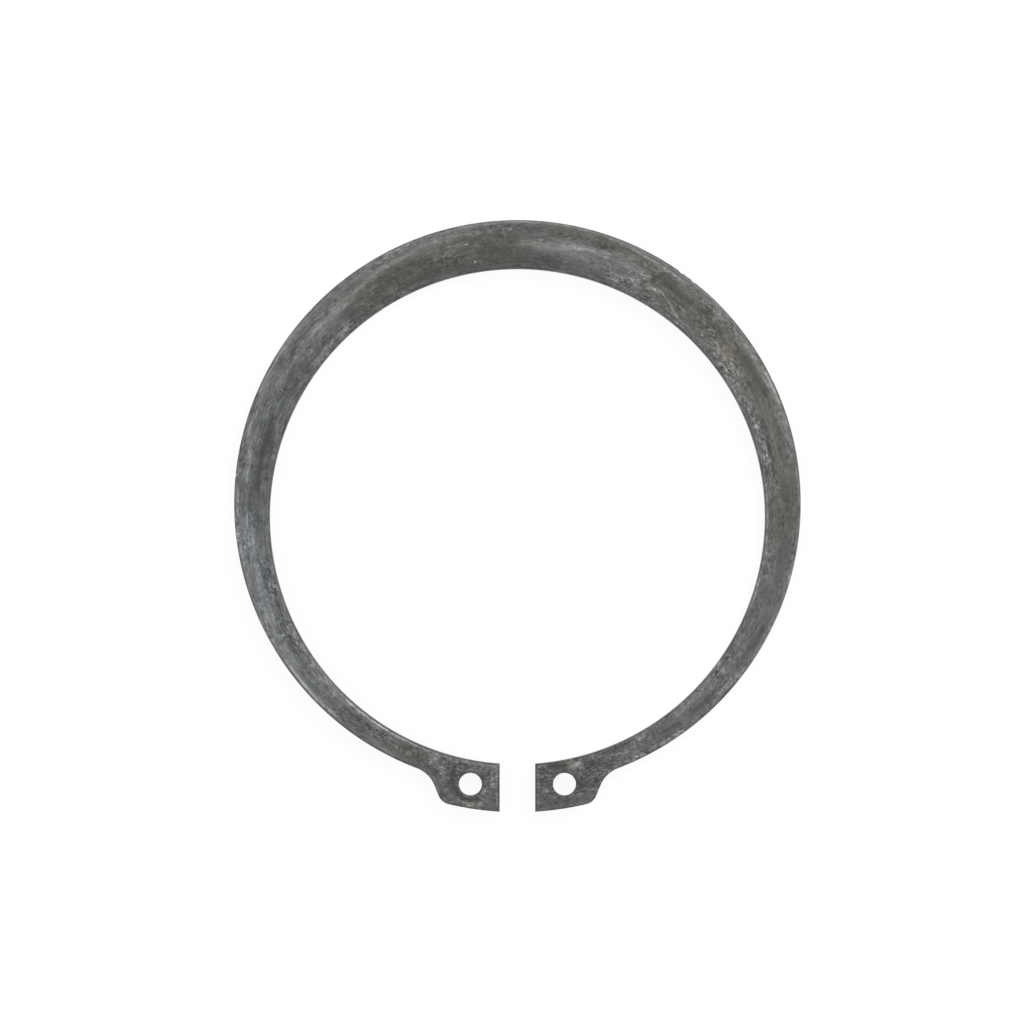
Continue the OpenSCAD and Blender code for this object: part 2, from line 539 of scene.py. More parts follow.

# %% [markdown]
# ## Where the ring is worn, and its painted highlights
#
# Most of the upper face is a dull dark grey, but soft pale haze, chalky scuffs, dark, rough or smooth
# patches and cool or warm tints have their own places on this ring, and a few of the pale strokes are
# painted highlights along the rims, where light catches the rounded edges. Each is a brush stroke on the
# unrolled
# strip: two ends, given in degrees clockwise from the top and as a share of the width from the inside edge,
# a half width in millimetres and an amount. A painted picture could hold the same, but a list of strokes
# can be read and changed line by line.

# %% Soft pale haze and a painted highlight by the outer edge: turn and share of one end, turn and share of the other, half width, amount
HAZE_AND_HIGHLIGHT = [
    (-48, 0.59, -42, 0.57, 0.80, 0.19),
    (-42, 0.58, -36, 0.62, 0.65, 0.21),
    (-36, 0.63, -31, 0.71, 0.40, 0.24),
    (-31, 0.71, -22, 0.76, 0.36, 0.23),
    (-22, 0.77, -13, 0.80, 0.45, 0.16),
    (-56, 0.80, -46, 0.85, 0.90, 0.06),
    (1, 0.52, 12, 0.53, 0.90, 0.22),
    (9, 0.55, 19, 0.58, 0.65, 0.34),
    (19, 0.55, 28, 0.55, 0.90, 0.13),
    (17, 0.47, 24, 0.46, 0.70, 0.08),
    (22, 0.24, 27, 0.34, 0.50, 0.22),
    (-70, 0.90, -76, 0.74, 0.40, 0.20),
    (-76, 0.73, -82, 0.69, 0.45, 0.24),
    (-63, 0.17, -72, 0.15, 0.50, 0.16),
    (-80, 0.24, -84, 0.24, 0.30, 0.17),
    (-90, 0.70, -96, 0.55, 0.90, 0.24),
    (-96, 0.56, -112, 0.58, 1.00, 0.25),
    (-110, 0.62, -124, 0.72, 0.90, 0.22),
    (-130, 0.30, -138, 0.14, 0.60, 0.17),
    (-120, 0.86, -138, 0.85, 0.24, 0.38),
    (97, 0.25, 99, 0.22, 0.50, 0.13),
    (98, 0.86, 98.6, 0.86, 0.40, 0.13),
    (104, 0.50, 110, 0.60, 1.20, 0.08),
    (124, 0.84, 134, 0.81, 0.50, 0.14),
    (124, 0.38, 127, 0.36, 0.60, 0.13),
    # painted highlight along the outer edge at the right, together with the chalk line at 60 to 66 degrees
    (58, 0.895, 66.5, 0.905, 0.28, 0.24),
    (166, 0.16, 168.2, 0.16, 0.55, 0.47),
    (-138, 0.84, -112, 0.84, 0.80, 0.11),
    (-112, 0.84, -92, 0.86, 0.90, 0.14),
    (-62, 0.58, -46, 0.52, 0.80, 0.11),
    (53, 0.86, 77, 0.86, 0.50, 0.19),
    (120, 0.45, 140, 0.40, 1.20, 0.06),
    (80, 0.965, 118, 0.965, 0.30, 0.15),
    (-66, 0.86, -58, 0.86, 0.50, 0.14),
    (-64, 0.93, -40, 0.93, 0.45, 0.17),
    (-28, 0.965, 4, 0.965, 0.25, 0.15),
    (96, 0.40, 104, 0.42, 0.90, 0.10),
    (66, 0.52, 72, 0.52, 0.60, 0.09),
    (100, 0.92, 126, 0.93, 0.45, 0.11),
    (-94, 0.20, -89, 0.18, 0.50, 0.10),
    (-148, 0.77, -141, 0.77, 0.45, 0.13),
    (-141, 0.24, -136, 0.24, 0.50, 0.16),
    (-129, 0.59, -123, 0.59, 0.50, 0.17),
    (-80, 0.23, -76, 0.23, 0.50, 0.08),
    (-68.5, 0.59, -63.5, 0.59, 0.50, 0.13),
    (-45, 0.24, -33, 0.24, 0.55, 0.11),
    (3.5, 0.23, 9, 0.23, 0.50, 0.08),
    (4, 0.41, 14.5, 0.42, 0.50, 0.15),
    (22.5, 0.77, 33, 0.77, 0.45, 0.09),
    (153.5, 0.45, 158.5, 0.45, 0.90, 0.10),
    (-128, 0.77, -100, 0.77, 0.50, 0.14),
    (-98, 0.32, -94, 0.34, 0.70, 0.10),
]

# %% Chalky scuffs and painted highlights along the rims, in the same form
CHALK_AND_HIGHLIGHTS = [
    (-162, 0.10, -134, 0.10, 0.40, 0.08),
    # painted highlight along the inside edge at the lower left, where the rounded rim faces the key lamp
    (-157, 0.09, -137, 0.11, 0.14, 0.32),
    (-149, 0.09, -138, 0.10, 0.11, 0.48),
    (-134, 0.16, -126, 0.16, 0.50, 0.15),
    (-126, 0.12, -116, 0.14, 0.40, 0.16),
    (-112, 0.10, -98, 0.08, 0.30, 0.08),
    (-84, 0.90, -90, 0.88, 0.16, 0.37),
    (-92, 0.90, -98, 0.90, 0.30, 0.13),
    (-54, 0.15, -42, 0.13, 0.40, 0.12),
    (-18, 0.50, -9, 0.25, 0.90, 0.11),
    (-15, 0.64, -10, 0.60, 0.20, 0.17),
    (-12, 0.84, -8, 0.78, 0.50, 0.17),
    (-40, 0.92, -8, 0.92, 0.70, 0.10),
    # painted highlights along the outer edge at the top and the upper right
    (-4, 0.97, 14, 0.97, 0.16, 0.17),
    (18, 0.94, 27, 0.89, 0.14, 0.28),
    (26, 0.89, 35, 0.85, 0.20, 0.30),
    (33, 0.86, 56, 0.87, 0.50, 0.13),
    (30, 0.35, 32, 0.37, 0.40, 0.17),
    (36, 0.20, 41, 0.12, 0.40, 0.17),
    (49, 0.34, 52.5, 0.30, 0.45, 0.27),
    (52.5, 0.37, 56, 0.34, 0.30, 0.20),
    (48, 0.22, 64, 0.17, 0.80, 0.09),
    (64, 0.22, 78, 0.15, 0.60, 0.11),
    # painted highlight along the outer edge at the right
    (60, 0.93, 66, 0.93, 0.20, 0.22),
    (66, 0.93, 72, 0.93, 0.30, 0.11),
    (82, 0.06, 112, 0.06, 0.18, 0.28),
    (126, 0.05, 134, 0.18, 0.40, 0.17),
    (134, 0.20, 143, 0.25, 0.50, 0.09),
    (142, 0.90, 147.5, 0.86, 0.35, 0.06),
    (150, 0.20, 152.5, 0.20, 0.40, 0.17),
    (152, 0.70, 160, 0.80, 0.60, 0.10),
    (159, 0.35, 164, 0.08, 0.30, 0.13),
    (-163, 0.08, -175, 0.06, 0.35, 0.17),
    (-160, 0.30, -164, 0.40, 0.60, 0.20),
    (-174.5, 0.28, -174.8, 0.50, 0.35, 0.33),
    (-173.2, 0.55, -172.8, 0.65, 0.40, 0.31),
    (-175.3, 0.05, -175.9, 0.85, 0.16, 0.25),
    (175.1, 0.05, 175.8, 0.85, 0.16, 0.25),
    (174.2, 0.55, 175, 0.70, 0.45, 0.22),
    (-168, 0.85, -171, 0.95, 0.35, 0.17),
    (-166.5, 0.09, -157, 0.10, 0.18, 0.26),
    (-163.2, 0.45, -164.4, 0.66, 0.45, 0.15),
    (-44.5, 0.59, -39.5, 0.60, 0.45, 0.10),
]

# %% Dark patches, in the same form
DARK = [
    (-165.9, 0.22, -165.9, 0.50, 0.45, 0.35),
    (-166.2, 0.55, -169, 0.82, 0.45, 0.34),
    (-169, 0.82, -172.2, 0.78, 0.35, 0.30),
    (168.8, 0.10, 172.3, 0.07, 0.50, 0.32),
    (174, 0.33, 175, 0.36, 0.45, 0.25),
    (165.8, 0.60, 167.4, 0.52, 0.60, 0.20),
    (163.6, 0.49, 165.4, 0.47, 0.35, 0.18),
    (-138.5, 0.36, -146, 0.38, 0.60, 0.16),
    (-154, 0.38, -158, 0.45, 0.60, 0.06),
    (-118.8, 0.48, -119.4, 0.46, 0.40, 0.08),
    (-124, 0.44, -125, 0.46, 0.40, 0.07),
    (-102, 0.20, -112, 0.24, 0.45, 0.12),
    (-68, 0.39, -76, 0.39, 0.60, 0.25),
    (-76, 0.39, -84, 0.36, 0.50, 0.25),
    (-90.3, 0.28, -91, 0.26, 0.50, 0.18),
    (-84, 0.50, -90, 0.55, 0.70, 0.08),
    (-53.5, 0.70, -58, 0.48, 0.45, 0.14),
    (-57, 0.48, -62, 0.42, 0.45, 0.15),
    (-36, 0.44, -35, 0.45, 0.60, 0.09),
    (-30, 0.50, -12, 0.38, 1.10, 0.20),
    (-28, 0.20, 0, 0.15, 1.00, 0.08),
    (14, 0.72, 21, 0.79, 0.40, 0.14),
    (2, 0.85, 14, 0.82, 0.60, 0.07),
    (0, 0.13, 20, 0.10, 0.80, 0.12),
    (29.5, 0.60, 39, 0.61, 0.60, 0.16),
    (42, 0.62, 48, 0.56, 0.60, 0.18),
    (53, 0.62, 64, 0.70, 0.70, 0.13),
    (68, 0.38, 75, 0.33, 0.22, 0.24),
    (74, 0.33, 81, 0.32, 0.20, 0.26),
    (84, 0.60, 96, 0.55, 1.20, 0.08),
    (115, 0.75, 124, 0.63, 0.45, 0.14),
    (129, 0.61, 138, 0.52, 0.55, 0.15),
    (142, 0.55, 146, 0.48, 0.50, 0.18),
    (155, 0.15, 160, 0.20, 0.30, 0.14),
    (122, 0.20, 128, 0.15, 0.25, 0.12),
    (-120, 0.975, -145, 0.97, 0.12, 0.22),
    (-136, 0.02, -165, 0.02, 0.12, 0.18),
    (-86, 0.20, -71, 0.22, 1.00, 0.17),
    (-40, 0.22, 8, 0.20, 1.60, 0.17),
    (-10, 0.60, 0, 0.60, 2.20, 0.11),
    (84, 0.55, 108, 0.50, 1.50, 0.07),
    (160, 0.50, 178, 0.50, 4.00, 0.13),
    (-178, 0.50, -160, 0.50, 4.00, 0.105),
    (-71, 0.20, -55, 0.20, 0.90, 0.09),
    (-111, 0.42, -105, 0.42, 0.45, 0.08),
    (-74, 0.60, -70, 0.60, 0.40, 0.07),
    (-51, 0.77, -45, 0.77, 0.45, 0.07),
    (-38, 0.55, -33, 0.56, 0.40, 0.09),
    (-33, 0.58, -27, 0.58, 0.45, 0.13),
    (-20, 0.58, -15.5, 0.58, 0.45, 0.12),
    (-8, 0.40, 2.5, 0.41, 0.60, 0.17),
    (33.5, 0.43, 45, 0.43, 0.45, 0.09),
    (39, 0.61, 42, 0.62, 0.50, 0.14),
]

# %% Where the coat is rough and flecked, in the same form
ROUGH = [
    (-17, 0.45, -9, 0.30, 1.40, 0.60),
    (33, 0.92, 58, 0.92, 1.00, 0.72),
    (45, 0.22, 80, 0.20, 1.20, 0.96),
    (-160, 0.50, -125, 0.30, 1.60, 0.16),
    (-120, 0.20, -98, 0.15, 0.80, 0.60),
    (120, 0.30, 158, 0.40, 2.00, 0.60),
    (160, 0.50, 178, 0.50, 4.00, 1.00),
    (-178, 0.50, -160, 0.50, 4.00, 1.00),
    (-50, 0.15, -40, 0.15, 1.00, 0.60),
    (-84, 0.90, -120, 0.90, 0.60, 0.48),
    (-135, 0.55, -95, 0.60, 1.60, 0.35),
    (46, 0.42, 56, 0.42, 0.70, 1.60),
    (22, 0.25, 28, 0.36, 0.80, 1.40),
    (34, 0.40, 38, 0.38, 0.60, 1.20),
    (-117, 0.30, -106, 0.26, 0.90, 1.20),
    (-153, 0.45, -147, 0.42, 1.30, 1.00),
    (93, 0.20, 104, 0.22, 0.60, 0.90),
    (117, 0.22, 135, 0.22, 0.60, 1.10),
    (136, 0.80, 158, 0.80, 0.60, 1.10),
]

# %% Where the coat is whole and smooth, in the same form
SMOOTH = [
    (78, 0.66, 112, 0.62, 1.20, 0.50),
    (-10, 0.32, 3, 0.40, 1.30, 0.60),
    (7, 0.60, 14, 0.62, 0.70, 0.50),
    (57, 0.60, 64, 0.64, 0.90, 0.55),
    (-88, 0.41, -64, 0.42, 0.70, 0.42),
    (-50, 0.41, -34, 0.41, 0.70, 0.48),
    (136, 0.45, 152, 0.52, 0.80, 0.48),
    (124, 0.45, 128, 0.58, 0.80, 0.48),
    (-20, 0.60, -16, 0.60, 0.70, 0.42),
    (-66, 0.78, -47, 0.77, 0.60, 0.32),
    (-115, 0.60, -102, 0.60, 0.70, 0.34),
]

# %% Cool, olive and brown tints, in the same form
COOL = [
    (-136, 0.60, -108, 0.55, 1.60, 0.35),
    (-108, 0.55, -90, 0.50, 1.80, 0.70),
    (-90, 0.50, -64, 0.50, 2.00, 0.42),
    (9, 0.56, 19, 0.60, 0.80, 0.36),
    (22, 0.40, 27, 0.37, 0.80, 0.36),
    (98, 0.50, 112, 0.55, 1.60, 0.25),
    (124, 0.37, 127, 0.37, 0.90, 0.30),
]
OLIVE = [
    (8, 0.80, 28, 0.78, 1.60, 0.50),
    (30, 0.50, 52, 0.54, 2.20, 0.85),
    (52, 0.55, 66, 0.60, 2.20, 0.85),
    (67, 0.60, 95, 0.55, 2.20, 0.40),
    (-152, 0.60, -158, 0.50, 1.40, 0.45),
]
BROWN = [
    (-36, 0.38, -12, 0.42, 2.60, 0.66),
    (-10, 0.45, 0, 0.42, 2.60, 0.82),
    (168.5, 0.10, 172.5, 0.08, 0.60, 0.70),
    (-170, 0.85, -171, 0.95, 0.60, 0.80),
]

# %% Brush the strokes onto the points of the upper face, fading in over shares of the thickness
UPPER_FROM = 0.6
UPPER_FADE = 0.2
upper = np.clip((ring_points[:, 2] - UPPER_FROM * THICK) / (UPPER_FADE * THICK), 0, 1)


def unrolled(turn_at, share_at):
    """A place on the unrolled strip in mm: how far along it and how far across it."""
    width_at = np.interp(turn_at, outer_turn, outer_width)
    return np.array([math.radians(turn_at) * MIDDLE_R, share_at * width_at])


def brushed(strokes):
    """Weight of the strokes at each point. One stroke weighs amount * exp(-(d / half width)^2), where d is
    the distance on the unrolled strip from the straight line between its two ends. Several together weigh
    the root of the sum of their squares, so that strokes that meet don't pile up."""
    squares = np.zeros(len(turn))
    for turn_a, share_a, turn_b, share_b, half, amount in strokes:
        start = unrolled(turn_a, share_a)
        step = unrolled(turn_b, share_b) - start
        from_start = [along - start[0], across - start[1]]
        way = np.clip((from_start[0] * step[0] + from_start[1] * step[1]) / (step @ step), 0, 1)
        gone = np.hypot(from_start[0] - way * step[0], from_start[1] - way * step[1])
        squares += (amount * np.exp(-((gone / half) ** 2))) ** 2
    return np.sqrt(squares) * upper


strokes = {
    "haze_and_highlight": HAZE_AND_HIGHLIGHT,
    "chalk_and_highlight": CHALK_AND_HIGHLIGHTS,
    "dark": DARK,
    "rough": ROUGH,
    "smooth": SMOOTH,
    "cool": COOL,
    "olive": OLIVE,
    "brown": BROWN,
}
weights = {name: brushed(listed) for name, listed in strokes.items()}
for name, weight in weights.items():
    print(f"{name}: {len(strokes[name])} strokes, strongest {weight.max():.2f}")

# %% Paler borders, how streaky each part of the beam is, and the walls, which are smoother in the holes
STREAKY_TURNS = [-160, -135, -105, -70, -40, -12, 5, 60, 90, 130, 160]
STREAKY_AMOUNTS = [0.3, 0.5, 0.9, 1.0, 0.8, 0.4, 0.4, 0.35, 0.4, 0.6, 0.3]
WALL_RISE = 0.4
HOLE_SHEAR = 0.4


def border(gone, amount, reach):
    """Weight of a pale border: amount * exp(-(d / reach)^2), where d is the way from the edge in mm."""
    return upper * amount * np.exp(-((gone / reach) ** 2))


weights["haze_and_highlight"] += border(width - across, amount=0.07, reach=0.7) + border(across, amount=0.04, reach=0.6)
weights["streaky"] = upper * np.interp(turn, STREAKY_TURNS, STREAKY_AMOUNTS)
ring_normals = np.empty(len(ring_mesh.vertices) * 3, np.float32)
ring_mesh.vertices.foreach_get("normal", ring_normals)
to_hole = np.hypot(np.abs(ring_points[:, 0]) - HOLE_AT[0], ring_points[:, 1] - HOLE_AT[1])
in_hole = to_hole < HOLE_R + HOLE_ROUND
steep = np.clip(1 - np.abs(ring_normals[2::3]) / WALL_RISE, 0, 1)
weights["wall"] = steep * np.where(in_hole, HOLE_SHEAR, 1)
for name, weight in weights.items():
    store(name, weight)
print("numbers kept on each point:", ", ".join(weights))

# %% [markdown]
# ## The finish: helpers
#
# Phosphate is a thin crystalline coat, grown on the steel in a bath and then oiled. It is dark, dull and
# never even. The finish adds up one number, the tone, from several layers of noise, and turns it into a
# colour at the end. A few small helpers keep the node tree readable: one adds a node with its settings and
# inputs, and the others do one step of arithmetic or one kind of noise.

# %% Helpers that add nodes
def start_tree(owner):
    """Empties the node tree of a material or a world. The helpers below add their nodes to this tree."""
    global tree
    owner.use_nodes = True
    tree = owner.node_tree
    tree.nodes.clear()


def put(kind, inputs=(), **settings):
    """Adds a node to the tree. Each input is another node's output, which is linked, or a value."""
    made = tree.nodes.new(kind)
    for name, value in settings.items():
        setattr(made, name, value)
    for key, value in dict(inputs).items():
        if isinstance(value, bpy.types.NodeSocket):
            tree.links.new(value, made.inputs[key])
        else:
            made.inputs[key].default_value = value
    return made.outputs


def calc(operation, *values):
    """One step of arithmetic on sockets or numbers."""
    return put("ShaderNodeMath", dict(enumerate(values)), operation=operation)[0]


def plus(so_far, value, amount=1.0):
    """What there is so far, plus a value times an amount."""
    return calc("MULTIPLY_ADD", value, amount, so_far)


def louder(value, weight, more, least):
    """A value times least + more * weight, so that it grows with the weight."""
    return calc("MULTIPLY", value, plus(least, weight, more))


def ramp(value, start, stop, first=0.0, last=1.0):
    """A smooth step: first below start, last above stop, and an S-curve in between."""
    return put(
        "ShaderNodeMapRange",
        {"Value": value, "From Min": start, "From Max": stop, "To Min": first, "To Max": last},
        interpolation_type="SMOOTHSTEP",
    )[0]


def stored(name):
    """A number that is kept on the points of the ring."""
    return put("ShaderNodeAttribute", attribute_name=name)["Fac"]


# %% Helpers for noise
def noise(vector, scale, octaves, roughness, warp=0.0):
    """Fractal noise about zero, from about -0.5 to 0.5."""
    inputs = {
        "Vector": vector,
        "Scale": scale,
        "Detail": octaves,
        "Roughness": roughness,
        "Distortion": warp,
    }
    return calc("SUBTRACT", put("ShaderNodeTexNoise", inputs)[0], 0.5)


def scaled(vector, scale, turned=0.0):
    """A vector turned about Z and then scaled along its three axes."""
    inputs = {"Vector": vector, "Scale": scale, "Rotation": (0, 0, turned)}
    return put("ShaderNodeMapping", inputs, vector_type="POINT")[0]


def layer(cells, octaves, roughness, warp=0.0, turned=0.0):
    """Noise that follows the strip, with so many cells to a mm along it, across it and up."""
    return noise(scaled(strip, cells, turned), 1.0, octaves, roughness, warp)


# %% Coordinates of the finish
PER_M = 1000
finish = bpy.data.materials.new("phosphated_steel")
start_tree(finish)
place = put("ShaderNodeTexCoord")["Object"]
strip = put("ShaderNodeAttribute", attribute_name="strip")["Vector"]
edge = stored("edge")
haze_and_highlight, chalk_and_highlight, dark, rough, smooth, cool, olive, brown, streaky, wall = (stored(name) for name in weights)

# %% [markdown]
# ## The finish: grain, streaks and wear
#
# The coat grew on rolled strip, so nearly all of its grain is drawn out along the beam. Mottle, specks and
# clouds are the grain, and flecks are its pale crystals, of which only the crests show. Streaks and strands
# run far along the strip and are strongest on the left. Where the coat is whole, in dark and smooth places,
# all of these fade. One noise with many octaves would be a single node, but it would look alike everywhere:
# with a layer for each, the strokes can make one place rough, the next one smooth and a third one streaky.

# %% Layers of noise: cells to a mm along, across and up, octaves and roughness
mottle = layer((0.42, 0.85, 0.6), 5, 0.70)
specky = layer((1.3, 3.0, 2.0), 3, 0.7)
crystals = layer((2.0, 4.0, 2.0), 2, 0.6)
streaks = layer((0.15, 2.3, 1.0), 4, 0.64)
strands = ramp(layer((0.30, 3.4, 1.0), 3, 0.6, turned=0.06), 0.05, 0.20)
blotches = noise(place, 0.95 * PER_M, 3, 0.62)
drifts = layer((0.06, 0.30, 1.0), 2, 0.5)
wisps = layer((0.9, 1.6, 1.0), 5, 0.75, warp=0.6)
fibres = layer((0.30, 2.0, 1.0), 4, 0.65, warp=0.4)
patches = ramp(layer((0.16, 0.50, 1.0), 3, 0.55), -0.14, 0.14, 0.50, 1.50)

# %% Grain and streaks, louder in rough and streaky places and fainter where the coat is whole
MOTTLE_AMOUNT = 0.80
STRAND_AMOUNT = 0.20
uneven = calc("SUBTRACT", 1.0, smooth)
broken = calc("MULTIPLY", ramp(dark, 0.10, 0.24, 1.0, 0.5), uneven)
flecks = louder(ramp(crystals, 0.07, 0.20), rough, more=0.28, least=0.12)
specks = louder(specky, rough, more=0.78, least=1.00)
clouds = louder(blotches, rough, more=0.55, least=0.30)
grain = plus(plus(plus(flecks, mottle, MOTTLE_AMOUNT), specks), clouds)
grain = calc("MULTIPLY", grain, calc("MULTIPLY", broken, patches))
lines = louder(streaks, streaky, more=0.60, least=0.14)
lines = plus(lines, calc("MULTIPLY", strands, streaky), STRAND_AMOUNT)
lines = calc("MULTIPLY", lines, broken)

# %% The tone, where 0 is a dark grey and 1 a pale one: grain, streaks, haze, scuffs and painted highlights on an even base
BASE_TONE = 0.26
DRIFT_AMOUNT = 0.14
veil_and_highlight = calc("MULTIPLY", haze_and_highlight, ramp(calc("MULTIPLY", fibres, uneven), -0.16, 0.16, 0.50, 1.50))
scuffs_and_highlights = calc("MULTIPLY", chalk_and_highlight, ramp(wisps, -0.12, 0.14, 0.25, 1.9))
tone = plus(BASE_TONE, drifts, DRIFT_AMOUNT)
# the scuffs carry painted highlights along the rims, and the veil carries one along the outer edge
for part in (grain, lines, veil_and_highlight, scuffs_and_highlights):
    tone = plus(tone, part)
tone = calc("SUBTRACT", tone, dark)
print("nodes so far:", len(tree.nodes))

# %% [markdown]
# ## The finish: scratches and chips
#
# Handling leaves fine scratches and bright chips where the coat has come off. The clear ones on this ring
# are thinner than the spacing of the mesh's points, so they aren't brushed on: each is a round gradient
# that is stretched into a thin needle and laid on the strip at its own place. A few more, at odd angles,
# come from noise of which only the crests stay.

# %% Single scratches and chips: the two ends as above, half width, amount
SCRATCHES = [
    (31.7, 0.43, 34.3, 0.35, 0.16, 0.53),
    (34.0, 0.36, 37.4, 0.22, 0.17, 0.53),
    (37.0, 0.24, 39.3, 0.16, 0.16, 0.31),
    (19.7, 0.48, 21.3, 0.26, 0.16, 0.25),
    (21.0, 0.28, 23.9, 0.11, 0.16, 0.25),
    (23.4, 0.12, 28.0, 0.06, 0.16, 0.19),
    (-83.6, 0.74, -83.3, 0.47, 0.14, 0.20),
    (83.6, 0.36, 83.8, 0.44, 0.18, 0.35),
    (78.6, 0.40, 78.8, 0.56, 0.14, 0.20),
    (-14.8, 0.645, -14.0, 0.635, 0.17, 0.47),
    (-11.3, 0.60, -10.2, 0.59, 0.16, 0.47),
    (-28.1, 0.19, -27.9, 0.24, 0.18, 0.35),
    (-17.9, 0.47, -17.5, 0.44, 0.16, 0.28),
    (-61.9, 0.42, -61.7, 0.50, 0.15, 0.62),
    (-170.8, 0.945, -170.2, 0.93, 0.17, 0.94),
]
CHIPS = [
    (-9.4, 0.21, 0.24, 0.95),
    (31.1, 0.38, 0.28, 0.75),
    (39.6, 0.07, 0.22, 0.80),
    (45.5, 0.24, 0.26, 0.60),
    (-59.7, 0.51, 0.18, 0.35),
    (-81.5, 0.965, 0.28, 0.60),
    (133.0, 0.20, 0.26, 0.50),
    (142.4, 0.91, 0.24, 0.50),
    (147.0, 0.85, 0.24, 0.40),
    (151.3, 0.27, 0.22, 0.40),
    (152.0, 0.12, 0.22, 0.35),
    (-118.5, 0.17, 0.34, 0.40),
    (-108.0, 0.24, 0.28, 0.40),
    (-109.6, 0.23, 0.28, 0.35),
    (-155.3, 0.32, 0.20, 0.45),
    (-152.4, 0.50, 0.22, 0.35),
    (88.2, 0.45, 0.16, 0.30),
    (60.3, 0.90, 0.20, 0.40),
    (55.2, 0.36, 0.18, 0.45),
]


def needle(start, stop, half):
    """A round gradient, 1 in the middle and 0 at its border, stretched from start to stop on the top."""
    middle = (start + stop) / 2
    reach = np.linalg.norm(stop - start) / 2 + half
    lean = math.atan2(*(stop - start)[::-1])
    inputs = {
        "Vector": strip,
        "Location": (*middle, THICK),
        "Rotation": (0, 0, lean),
        "Scale": (reach, half, 1),
    }
    laid = put("ShaderNodeMapping", inputs, vector_type="TEXTURE")[0]
    return put("ShaderNodeTexGradient", {"Vector": laid}, gradient_type="SPHERICAL")[1]


marks = 0.0
for turn_a, share_a, turn_b, share_b, half, amount in SCRATCHES:
    marks = plus(marks, needle(unrolled(turn_a, share_a), unrolled(turn_b, share_b), half), amount)
for turn_at, share_at, half, amount in CHIPS:
    spot = unrolled(turn_at, share_at)
    marks = plus(marks, needle(spot, spot, half), amount)
tone = plus(tone, marks)
print(len(SCRATCHES), "scratches and", len(CHIPS), "chips")

# %% Fine scratches at odd angles and small specks
HAIRLINE_AMOUNT = 0.10
PINPRICK_AMOUNT = 0.28


def hairlines(turned, seed):
    """Thin pale lines: noise that is stretched far along one direction, of which only the crests stay."""
    moved = put("ShaderNodeVectorMath", {0: strip, 1: (seed, 2 * seed, 0)}, operation="ADD")[0]
    return ramp(noise(scaled(moved, (0.35, 7.0, 1.0), turned), 1.0, 1, 0.5), 0.16, 0.24)


crossing = calc("MAXIMUM", hairlines(math.radians(38), 11.0), hairlines(math.radians(-52), 47.0))
crossing = calc("MULTIPLY", crossing, ramp(noise(strip, 0.22, 2, 0.5), -0.05, 0.12))
cells = put("ShaderNodeTexVoronoi", {"Vector": place, "Scale": 0.85 * PER_M, "Randomness": 1.0})
chosen = put("ShaderNodeSeparateColor", {"Color": cells["Color"]})[0]
pinpricks = calc("MULTIPLY", ramp(cells["Distance"], 0.07, 0.15, 1.0, 0.0), ramp(chosen, 0.90, 0.94))
tone = plus(plus(tone, crossing, HAIRLINE_AMOUNT), pinpricks, PINPRICK_AMOUNT)

# %% [markdown]
# ## The finish: rims and walls
#
# A pale line, broken up along its way, runs where the flat turns into the rounded rim: the ring has been
# rubbed there, and the line is also a painted highlight of the rounded rim. The walls were sheared by the
# punch: their upper part is burnished and carries fine upright lines, and the lower part, where the strip
# broke off, is rougher and darker. The border between the two wanders up and down. Modelled grooves would
# need far more points than noise does.

# %% Rubbed rims with a painted highlight: the distance from the edge in mm over which the line comes and goes
RUB_AND_HIGHLIGHT_AMOUNT = 0.07
# a pale line near every edge: partly rubbed, partly a painted highlight of the rounded rim
rub_and_highlight = calc("MULTIPLY", ramp(edge, 0.20, 0.32), ramp(edge, 0.38, 0.60, 1.0, 0.0))
rub_and_highlight = calc("MULTIPLY", rub_and_highlight, ramp(noise(strip, 0.45, 4, 0.65), -0.08, 0.18))
tone = plus(tone, rub_and_highlight, RUB_AND_HIGHLIGHT_AMOUNT)

# %% Sheared walls: torn up to a share of the thickness, and burnished above it
TORN_TO = 0.40
BURNISHED_FROM = 0.55
WANDER = 1.6
TORN_TONE = -0.06
TORN_GRAIN = 0.55
SHEARED_TONE = 0.05
SHEARED_GRAIN = 0.35
tall = put("ShaderNodeSeparateXYZ", {"Vector": strip})["Z"]
torn = plus(TORN_TONE, layer((1.4, 1.4, 2.2), 4, 0.7), TORN_GRAIN)
sheared = plus(SHEARED_TONE, layer((3.2, 0.4, 0.18), 3, 0.6), SHEARED_GRAIN)
ragged = plus(tall, noise(strip, 0.8, 3, 0.6), WANDER)
burnished = ramp(ragged, TORN_TO * THICK, BURNISHED_FROM * THICK)
shear = calc("MULTIPLY", wall, put("ShaderNodeMix", {0: burnished, 2: torn, 3: sheared})[0])
tone = plus(tone, shear)

# %% [markdown]
# ## The finish: colour, gloss and relief
#
# A ramp of greys turns the tone into a colour, and the cool and warm strokes tint it a little. Dark patches
# are a little glossier than chalky ones. The same noises press a shallow relief into the surface, so that
# light from the side catches the grain. Displacing the mesh would show no more than a bump at this depth,
# and it would need far more points.

# %% Colour
def grey(level):
    """Linear value of a grey that shows as this level out of 255."""
    share = level / 255
    return ((share + 0.055) / 1.055) ** 2.4


COAT = (0.996, 1.008, 0.992)
GREYS = [(0.0, 64), (0.25, 90), (0.5, 117), (0.75, 146), (1.0, 182)]
COOL_TINT = (0.90, 0.985, 1.09)
OLIVE_TINT = (1.06, 1.01, 0.875)
BROWN_TINT = (1.06, 0.99, 0.88)
greys = put("ShaderNodeValToRGB", {"Fac": tone})
bar = greys["Color"].node.color_ramp
while len(bar.elements) < len(GREYS):
    bar.elements.new(0.5)
for stop, (position, level) in zip(bar.elements, GREYS):
    stop.position = position
    stop.color = (*[grey(level) * part for part in COAT], 1)


